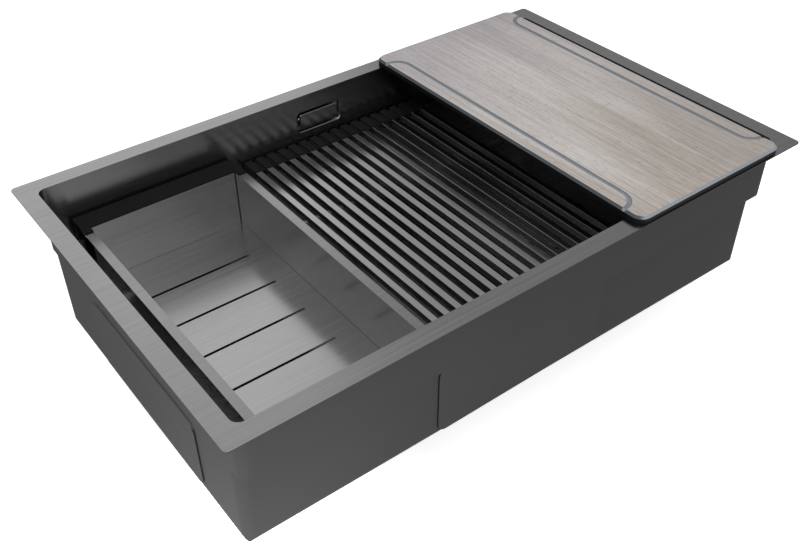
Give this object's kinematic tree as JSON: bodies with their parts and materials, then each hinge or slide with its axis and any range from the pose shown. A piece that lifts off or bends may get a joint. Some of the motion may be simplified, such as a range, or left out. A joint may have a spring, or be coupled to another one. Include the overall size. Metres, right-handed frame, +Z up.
{
  "type": "workstation kitchen sink",
  "caption": "Single-bowl kitchen sink with a ledge inside, a slotted tray, a roll-up drying rack and a sliding board.",
  "frame": {"origin": "centre of the opening, on the plane of the rim's underside where it meets the worktop", "axes": "+X to the drain end along the sink's length, +Y to the back wall with the overflow, +Z up"},
  "size_m": [0.78, 0.478, 0.2745],
  "materials": {
    "bowl_steel": "gunmetal grey brushed steel, satin",
    "tray_steel": "gunmetal grey brushed steel, satin",
    "rack_steel": "gunmetal grey brushed steel, satin",
    "cover_steel": "brushed steel with a polished frame",
    "bright_steel": "bright brushed stainless steel",
    "board_laminate": "matt compact laminate with a beige-grey wood print, dark core",
    "tray_end_plastic": "near-black moulded plastic, matt",
    "rack_silicone": "near-black silicone, matt",
    "seal_rubber": "black rubber, matt",
    "black_plastic": "black moulded plastic, matt"
  },
  "bodies": {
    "sink": {"sink_bowl": "bowl_steel", "pad_front": "bowl_steel", "pad_back": "bowl_steel", "pad_left": "bowl_steel", "pad_right": "bowl_steel", "pad_floor": "bowl_steel", "drain_flange": "bright_steel", "drain_seat_ring": "seal_rubber", "drain_screw": "bright_steel", "drain_gasket": "seal_rubber", "drain_body": "black_plastic", "overflow_cover": "cover_steel", "overflow_gasket": "seal_rubber", "overflow_housing": "black_plastic", "overflow_screws": "bright_steel"},
    "board": {"cutting_board": "board_laminate", "board_feet": "seal_rubber"},
    "tray": {"tray": "tray_steel", "tray_end_front": "tray_end_plastic", "tray_end_back": "tray_end_plastic"},
    "strainer": {"strainer_basket": "bright_steel", "strainer_seal": "seal_rubber", "strainer_knob": "bright_steel"},
    "rack_flat": {"rack_strip_front": "rack_silicone", "rack_strip_back": "rack_silicone", "rack_bar_11": "rack_steel", "rack_bar_12": "rack_steel", "rack_bar_13": "rack_steel", "rack_bar_14": "rack_steel", "rack_bar_15": "rack_steel", "rack_bar_16": "rack_steel", "rack_bar_17": "rack_steel"},
    "rack_link_10": {"rack_bar_10": "rack_steel", "rack_grip_10": "rack_silicone"},
    "rack_link_09": {"rack_bar_09": "rack_steel", "rack_grip_09": "rack_silicone"},
    "rack_link_08": {"rack_bar_08": "rack_steel", "rack_grip_08": "rack_silicone"},
    "rack_link_07": {"rack_bar_07": "rack_steel", "rack_grip_07": "rack_silicone"},
    "rack_link_06": {"rack_bar_06": "rack_steel", "rack_grip_06": "rack_silicone"},
    "rack_link_05": {"rack_bar_05": "rack_steel", "rack_grip_05": "rack_silicone"},
    "rack_link_04": {"rack_bar_04": "rack_steel", "rack_grip_04": "rack_silicone"},
    "rack_link_03": {"rack_bar_03": "rack_steel", "rack_grip_03": "rack_silicone"},
    "rack_link_02": {"rack_bar_02": "rack_steel", "rack_grip_02": "rack_silicone"},
    "rack_link_01": {"rack_bar_01": "rack_steel", "rack_grip_01": "rack_silicone"}
  },
  "joints": [
    {"name": "board_slide", "type": "slide", "parent": "sink", "child": "board", "axis": [1, 0, 0], "range_m": [-0.5, 0.036]},
    {"name": "tray_slide", "type": "slide", "parent": "sink", "child": "tray", "axis": [-1, 0, 0], "range_m": [-0.015, 0.024]},
    {"name": "rack_slide", "type": "slide", "parent": "sink", "child": "rack_flat", "axis": [-1, 0, 0], "range_m": [-0.195, 0.015]},
    {"name": "strainer_lift", "type": "slide", "parent": "sink", "child": "strainer", "axis": [0, 0, 1], "range_m": [0, 0.045]},
    {"name": "rack_roll", "type": "hinge", "parent": "rack_flat", "child": "rack_link_10", "pos_m": [0.04975, 0, -0.065], "axis": [0, 1, 0], "range_deg": [0, 30]},
    {"name": "rack_fold_09", "type": "hinge", "parent": "rack_link_10", "child": "rack_link_09", "pos_m": [0.03325, 0, -0.065], "axis": [0, 1, 0], "range_deg": [0, 30]},
    {"name": "rack_fold_08", "type": "hinge", "parent": "rack_link_09", "child": "rack_link_08", "pos_m": [0.01675, 0, -0.065], "axis": [0, 1, 0], "range_deg": [0, 30]},
    {"name": "rack_fold_07", "type": "hinge", "parent": "rack_link_08", "child": "rack_link_07", "pos_m": [0.00025, 0, -0.065], "axis": [0, 1, 0], "range_deg": [0, 30]},
    {"name": "rack_fold_06", "type": "hinge", "parent": "rack_link_07", "child": "rack_link_06", "pos_m": [-0.01625, 0, -0.065], "axis": [0, 1, 0], "range_deg": [0, 30]},
    {"name": "rack_fold_05", "type": "hinge", "parent": "rack_link_06", "child": "rack_link_05", "pos_m": [-0.03275, 0, -0.065], "axis": [0, 1, 0], "range_deg": [0, 30]},
    {"name": "rack_fold_04", "type": "hinge", "parent": "rack_link_05", "child": "rack_link_04", "pos_m": [-0.04925, 0, -0.065], "axis": [0, 1, 0], "range_deg": [0, 30]},
    {"name": "rack_fold_03", "type": "hinge", "parent": "rack_link_04", "child": "rack_link_03", "pos_m": [-0.06575, 0, -0.065], "axis": [0, 1, 0], "range_deg": [0, 30]},
    {"name": "rack_fold_02", "type": "hinge", "parent": "rack_link_03", "child": "rack_link_02", "pos_m": [-0.08225, 0, -0.065], "axis": [0, 1, 0], "range_deg": [0, 30]},
    {"name": "rack_fold_01", "type": "hinge", "parent": "rack_link_02", "child": "rack_link_01", "pos_m": [-0.09875, 0, -0.065], "axis": [0, 1, 0], "range_deg": [0, 30]}
  ],
  "couplings": [
    {"joint": "rack_fold_09", "follows": "rack_roll", "ratio": 1},
    {"joint": "rack_fold_08", "follows": "rack_roll", "ratio": 1},
    {"joint": "rack_fold_07", "follows": "rack_roll", "ratio": 1},
    {"joint": "rack_fold_06", "follows": "rack_roll", "ratio": 1},
    {"joint": "rack_fold_05", "follows": "rack_roll", "ratio": 1},
    {"joint": "rack_fold_04", "follows": "rack_roll", "ratio": 1},
    {"joint": "rack_fold_03", "follows": "rack_roll", "ratio": 1},
    {"joint": "rack_fold_02", "follows": "rack_roll", "ratio": 1},
    {"joint": "rack_fold_01", "follows": "rack_roll", "ratio": 1}
  ]
}
